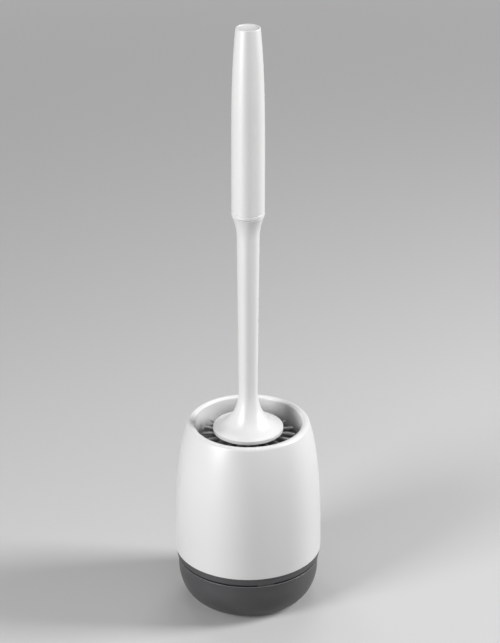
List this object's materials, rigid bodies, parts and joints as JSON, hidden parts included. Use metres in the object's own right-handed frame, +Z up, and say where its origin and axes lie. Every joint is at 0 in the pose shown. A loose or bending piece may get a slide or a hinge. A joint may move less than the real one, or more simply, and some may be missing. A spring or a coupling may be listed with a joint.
{
  "type": "toilet brush and holder",
  "caption": "Toilet brush with a trumpet-shaped splash cover, standing in a rounded holder on a vented drip tray.",
  "frame": {"origin": "centre of the foot at floor level", "axes": "+Z up along the brush, -Y towards the front of the holder"},
  "size_m": [0.1034, 0.1034, 0.425],
  "materials": {
    "white_plastic": "satin gloss, white",
    "dark_plastic": "satin, dark grey",
    "plate_plastic": "matt, dark grey",
    "core_plastic": "matt, natural white",
    "bristle_rubber": "smooth soft rubber, dark grey",
    "foot_rubber": "matt rubber, black"
  },
  "bodies": {
    "tray": {"drip_tray": "dark_plastic", "foot_pads": "foot_rubber"},
    "holder": {"base_ring": "dark_plastic", "drain_plate": "plate_plastic", "outer_shell": "white_plastic"},
    "brush": {"bristle_ring_01": "bristle_rubber", "bristle_ring_02": "bristle_rubber", "bristle_ring_03": "bristle_rubber", "bristle_ring_04": "bristle_rubber", "bristle_ring_05": "bristle_rubber", "bristle_ring_06": "bristle_rubber", "bristle_ring_07": "bristle_rubber", "bristle_ring_08": "bristle_rubber", "bristle_ring_09": "bristle_rubber", "bristle_ring_10": "bristle_rubber", "bristle_ring_11": "bristle_rubber", "bristle_ring_12": "bristle_rubber", "head_core": "core_plastic", "tip_cap": "dark_plastic", "stem": "white_plastic", "grip_collar": "white_plastic", "grip_shell": "white_plastic", "grip_socket": "core_plastic", "grip_cap": "white_plastic"}
  },
  "joints": [
    {"name": "holder_lift", "type": "slide", "parent": "tray", "child": "holder", "axis": [0, 0, 1], "range_m": [0, 0.06]},
    {"name": "brush_lift", "type": "slide", "parent": "holder", "child": "brush", "axis": [0, 0, 1], "range_m": [0, 0.12]}
  ]
}
